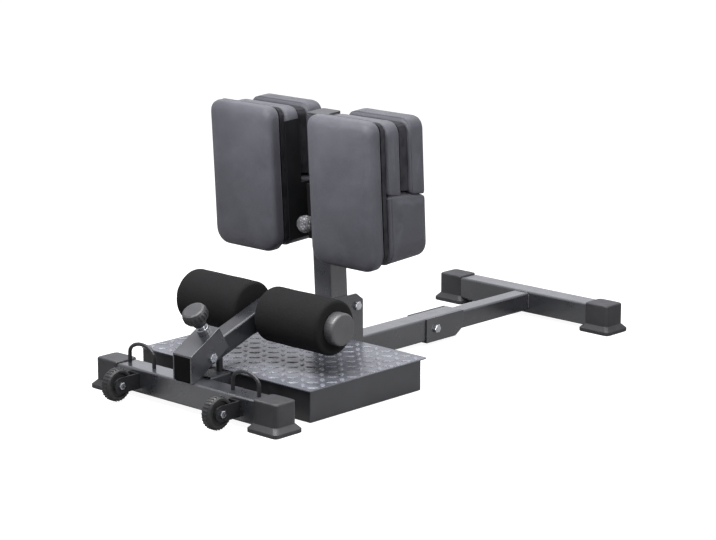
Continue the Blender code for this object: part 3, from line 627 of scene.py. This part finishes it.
def placeOnBothSides(piece, name, node=None):
    # the right-hand piece as made, and its mirror on the left, both set on the leaning post
    twinMesh = piece.data.copy()
    twinMesh.transform(Matrix.Scale(-1, 4, (1, 0, 0)))
    twinMesh.flip_normals()
    twin = addObject(name + "_left", twinMesh)
    piece.name = name + "_right"
    for one, side in ((piece, "right"), (twin, "left")):
        one.data.transform(leanFrame)
        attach(one, "carriage")
        if node:
            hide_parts(node + "_" + side)


def buildPads():
    for word, depth in pads["seams"].items():
        cushion = makeCushion(word)
        if depth is not None:
            path = seamPath(cushion, word)
            seamLoops = evenCord(path, pads["seamRadius"], pads["seamSides"], closed=True)
            seam = addPiece(word + "Seam", skinLoops(seamLoops, ring=True), "vinyl")
            towardsFace = -1 if word == "front" else 1
            shift = Vector((0, towardsFace * pads["stitchShift"], 0))
            stitches = makeStitches(word + "Stitches", path, shift)
            placeOnBothSides(stitches, word + "Stitches")
            placeOnBothSides(seam, word + "Seam")
        placeOnBothSides(cushion, word + "Cushion", word + "_cushion")
    print("pads built")


rollers = {
    "radius": 0.0565, "bore": 0.0132, "inner": 0.028, "outer": 0.2007, "axle": 0.1767,
    "edge": 0.008, "edgeSteps": 6, "hollow": 0.0006, "sides": 96, "rings": 40,
    # small lumps in the foam, from this part of its radius outwards
    "dent": 0.0006, "lumpScale": 28, "lumpsFrom": 0.8,
}


def rollerProfile(r):
    # the roller's section, from its bore at the inner end to its bore at the outer end
    between = (r["bore"] + r["radius"]) / 2
    edge = r["edge"]
    turns = [math.pi / 2 * k / r["edgeSteps"] for k in range(r["edgeSteps"] + 1)]
    profile = [(r["bore"], r["inner"]), (between, r["inner"] + r["hollow"])]
    for a in turns:
        profile.append((r["radius"] - edge * (1 - math.sin(a)), r["inner"] + edge * (1 - math.cos(a))))
    start, end = r["inner"] + edge, r["outer"] - edge
    for k in range(1, r["rings"]):
        profile.append((r["radius"], start + (end - start) * k / r["rings"]))
    for a in reversed(turns):
        profile.append((r["radius"] - edge * (1 - math.sin(a)), r["outer"] - edge * (1 - math.cos(a))))
    return profile + [(between, r["outer"] - r["hollow"]), (r["bore"], r["outer"])]


def buildRollers():
    r = rollers
    for word, side in (("left", -1), ("right", 1)):
        profile = [(radius, side * x) for radius, x in rollerProfile(r)]
        bm = skinLoops(turnedLoops(profile, r["sides"]), ring=True)
        for vertex in bm.verts:
            reach = math.hypot(vertex.co.y, vertex.co.z)
            if reach > r["radius"] * r["lumpsFrom"]:
                lump = noise.noise(vertex.co * r["lumpScale"]) * r["dent"]
                vertex.co.y *= (reach + lump - r["dent"]) / reach
                vertex.co.z *= (reach + lump - r["dent"]) / reach
            vertex.co.y += r["axle"]
        foam = addPiece("foamRoller_" + word, bm, "foam", place=armFrame)
        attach(foam, "ankle_roller_" + word)
        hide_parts("roller_foam_" + word)
    print("rollers built")


# the raised pattern of the foot plate. each layer of a lozenge has a part of its width and a part of its
# height; its length shrinks less, and its ends are drawn to a point
treadPlate = {
    "half": 0.242, "front": 0.108, "rear": 0.449, "top": 0.0665, "margin": 0.010,
    "notch": 0.031, "notchFront": 0.392, "pitch": 0.0270, "length": 0.0240, "width": 0.0098,
    "height": 0.0012, "lift": 0.00005, "layers": ((1.0, 0.0), (0.80, 0.75), (0.45, 1.0)), "sides": 12,
    "keptLength": 0.35, "pointed": 0.4,
}


def lozengeLoops(t, x, y, turn):
    loops = []
    for share, rise in t["layers"]:
        along = t["length"] / 2 * (t["keptLength"] + (1 - t["keptLength"]) * share)
        loop = []
        for k in range(t["sides"]):
            a = math.tau * k / t["sides"]
            u = along * math.cos(a)
            v = t["width"] / 2 * math.sin(a) * abs(math.sin(a)) ** t["pointed"] * share
            loop.append((x + u * math.cos(turn) - v * math.sin(turn),
                         y - middleY + u * math.sin(turn) + v * math.cos(turn),
                         t["top"] + max(t["lift"], t["height"] * rise)))
        loops.append(loop)
    return loops


def buildTread():
    t = treadPlate
    bm = bmesh.new()
    columns = int((2 * t["half"] - 2 * t["margin"]) / t["pitch"])
    rowCount = int((t["rear"] - t["front"] - 2 * t["margin"]) / t["pitch"])
    for i in range(columns + 1):
        for j in range(rowCount + 1):
            x = (i - columns / 2) * t["pitch"]
            y = (t["front"] + t["rear"]) / 2 + (j - rowCount / 2) * t["pitch"]
            # the post's foot stands in the plate's notch
            if abs(x) < t["notch"] + t["margin"] and y > t["notchFront"] - t["margin"]:
                continue
            turn = math.pi / 4 if (i + j) % 2 else -math.pi / 4
            skinLoops(lozengeLoops(t, x, y, turn), into=bm)
    # the lozenges take the paler copy of the plate's coat, as painted highlight
    tread = addPiece("treadLozenges", bm, "ridge")
    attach(tread, "frame")
    print("tread built")


# shallow ribs moulded round the transport wheels; root and tip are how far out, and half the rib's width
wheelRibs = {
    "count": 30, "halfLength": 0.0072, "root": (0.0324, 0.0013), "tip": (0.0337, 0.0008),
    "axle": (0.144, -0.045, 0.0376),
}


def buildWheelTread():
    w = wheelRibs
    for word, side in (("left", -1), ("right", 1)):
        bm = bmesh.new()
        for k in range(w["count"]):
            turn = Matrix.Rotation(math.tau * k / w["count"], 4, "X")
            loops = []
            for out, wide in (w["root"], w["tip"]):
                long = w["halfLength"]
                corners = ((-long, -wide), (long, -wide), (long, wide), (-long, wide))
                loops.append([turn @ Vector((x, y, out)) for x, y in corners])
            skinLoops(loops, into=bm)
        x, y, z = w["axle"]
        place = Matrix.Translation((side * x, y - middleY, z))
        ribs = addPiece("wheelRibs_" + word, bm, "wheel", smooth=False, place=place)
        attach(ribs, "transport_wheel_" + word)
    print("wheel ribs built")


# the thread stands out of the shaft by less than the collar's play, so it runs through the collar
screwThread = {"radius": 0.0057, "relief": 0.0005, "sides": 5, "start": 0.0045, "pitch": 0.0015,
               "turns": 10, "steps": 16}


def buildScrewThread():
    t = screwThread
    points = []
    for k in range(t["turns"] * t["steps"] + 1):
        a = math.tau * k / t["steps"]
        points.append((t["radius"] * math.cos(a), t["radius"] * math.sin(a),
                       t["start"] + t["pitch"] * k / t["steps"]))
    bm = skinLoops(evenCord(points, t["relief"], t["sides"]))
    thread = addPiece("screwThread", bm, "zinc", place=screwFrame)
    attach(thread, "screw")
    print("screw thread built")


# grip ribs round the screw knob; rings are how far up the screw and how far out, foot and crest half widths
knobRibs = {
    "count": 20, "root": 0.0235,
    "rings": ((0.0375, 0.0244), (0.0395, 0.0262), (0.0500, 0.0262), (0.0522, 0.0244)),
    "foot": 0.0016, "crest": 0.0012,
}


def buildKnobRibs():
    r = knobRibs
    bm = bmesh.new()
    for k in range(r["count"]):
        turn = Matrix.Rotation(math.tau * k / r["count"], 4, "Z")
        loops = []
        for z, out in r["rings"]:
            section = ((r["root"], -r["foot"]), (out, -r["crest"]), (out, r["crest"]), (r["root"], r["foot"]))
            loops.append([turn @ Vector((x, y, z)) for x, y in section])
        skinLoops(loops, into=bm)
    ribs = addPiece("knobRibs", bm, "moulded", place=screwFrame)
    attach(ribs, "screw_handle")
    print("knob ribs built")


# rippled beads where the frame's tubes meet, from one end to the other; taper is how many steps an end has
welds = {
    "radius": 0.0016, "ripple": 0.0003, "wave": 2.1, "step": 0.0012, "fewest": 8, "taper": 3, "sides": 8,
    "beads": {
        "railWeld": ((-0.021, 0.0540, 0.0625), (0.021, 0.0540, 0.0625)),
        "railWeldLeft": ((-0.0252, 0.0540, 0.018), (-0.0252, 0.0540, 0.060)),
        "railWeldRight": ((0.0252, 0.0540, 0.018), (0.0252, 0.0540, 0.060)),
        "rearWeldRight": ((0.0203, 1.0425, 0.022), (0.0203, 1.0425, 0.056)),
        "rearWeldLeft": ((-0.0203, 1.0425, 0.022), (-0.0203, 1.0425, 0.056)),
        "rearWeldTop": ((-0.017, 1.0425, 0.0592), (0.017, 1.0425, 0.0592)),
    },
}


def buildWelds():
    w = welds
    for name, (start, end) in w["beads"].items():
        a, b = Vector(start) - Vector((0, middleY, 0)), Vector(end) - Vector((0, middleY, 0))
        steps = max(w["fewest"], int((b - a).length / w["step"]))
        points, radii = [], []
        for k in range(steps + 1):
            ends = min(1.0, (min(k, steps - k) + 0.5) / w["taper"])
            points.append(a.lerp(b, k / steps))
            radii.append((w["radius"] + w["ripple"] * math.sin(k * w["wave"])) * ends)
        bead = addPiece(name, skinLoops(cordLoops(points, radii, w["sides"])), "powder")
        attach(bead, "frame")
    print("welds built")


view = {"spot": (3.3528, -3.0712 - middleY, 1.3425), "aim": (-0.5885, 1.12875 - middleY, 0.0),
        "lens": 121.08, "sensor": 36, "clipEnd": 50}

studio = {
    "ambient": 0.24,
    "tint": (0.93, 0.935, 1.0),
    "floorSize": 40,
    "floorColour": (0.32, 0.32, 0.32),
    "floorLift": 0.94,
    # place, what it looks at, size, power
    "lamps": {
        "overhead": ((-0.1, 0.3, 2.1), (0, 0.1, 0), (2.2, 2.2), 73),
        "keyClose": ((0.05, -0.65, 0.86), (0, -0.15, 0.46), (0.9, 0.35), 14.5),
        "fillRight": ((1.0, -0.15, 0.80), (0, -0.05, 0.46), (0.5, 0.5), 8.6),
    },
}


def aimFrom(holder, spot, aim):
    holder.location = spot
    holder.rotation_mode = "QUATERNION"
    holder.rotation_quaternion = (Vector(aim) - Vector(spot)).to_track_quat("-Z", "Y")


def buildCamera():
    camera = bpy.data.cameras.new("photoView")
    camera.sensor_width = view["sensor"]
    camera.lens = view["lens"]
    camera.clip_end = view["clipEnd"]
    holder = addObject("photoView", camera)
    aimFrom(holder, view["spot"], view["aim"])
    bpy.context.scene.camera = holder
    print("camera built")


def mathNode(tree, operation, first, second):
    # the second is a socket or a plain number
    step = tree.nodes.new("ShaderNodeMath")
    step.operation = operation
    tree.links.new(first, step.inputs[0])
    if isinstance(second, float):
        step.inputs[1].default_value = second
    else:
        tree.links.new(second, step.inputs[1])
    return step.outputs[0]


def buildFloor():
    # grey for the light it sends back, lifted to white for the camera alone, so that it keeps the shadow
    bpy.ops.mesh.primitive_plane_add(size=studio["floorSize"], location=(0, 0, 0))
    floor = bpy.context.object
    floor.name = "floor"
    mat = bpy.data.materials.new("paleFloor")
    mat.use_nodes = True
    tree = mat.node_tree
    tree.nodes.clear()
    out = tree.nodes.new("ShaderNodeOutputMaterial")
    matt = tree.nodes.new("ShaderNodeBsdfDiffuse")
    matt.inputs["Color"].default_value = (*studio["floorColour"], 1)
    lift = tree.nodes.new("ShaderNodeEmission")
    path = tree.nodes.new("ShaderNodeLightPath")
    seen = mathNode(tree, "MULTIPLY", path.outputs["Is Camera Ray"], studio["floorLift"])
    tree.links.new(seen, lift.inputs["Strength"])
    both = tree.nodes.new("ShaderNodeAddShader")
    tree.links.new(matt.outputs[0], both.inputs[0])
    tree.links.new(lift.outputs[0], both.inputs[1])
    tree.links.new(both.outputs[0], out.inputs["Surface"])
    floor.data.materials.append(mat)
    print("floor built")


def buildWorld():
    # white where it is seen, straight or mirrored, and dimmer where it only lights
    world = bpy.data.worlds.new("studio")
    bpy.context.scene.world = world
    world.use_nodes = True
    tree = world.node_tree
    back = tree.nodes["Background"]
    path = tree.nodes.new("ShaderNodeLightPath")
    seen = path.outputs["Is Camera Ray"]
    for name in ("Is Glossy Ray", "Is Transmission Ray"):
        seen = mathNode(tree, "MAXIMUM", seen, path.outputs[name])
    tree.links.new(rangeMap(tree, seen, 0, 1, studio["ambient"], 1.0), back.inputs["Strength"])
    tint = mixColour(tree, path.outputs["Is Camera Ray"], studio["tint"], (1.0, 1.0, 1.0))
    tree.links.new(tint, back.inputs["Color"])
    print("world built")


def buildLamps():
    for name, (spot, aim, size, power) in studio["lamps"].items():
        lamp = bpy.data.lights.new(name, "AREA")
        lamp.shape = "RECTANGLE"
        lamp.size, lamp.size_y = size
        lamp.energy = power
        aimFrom(addObject(name, lamp), spot, aim)
    print("lamps built")


bpy.context.scene.view_settings.view_transform = "Standard"
buildCamera()
buildFloor()
buildWorld()
buildLamps()
dressNodes()
buildPads()
buildRollers()
buildTread()
buildWheelTread()
buildScrewThread()
buildKnobRibs()
buildWelds()
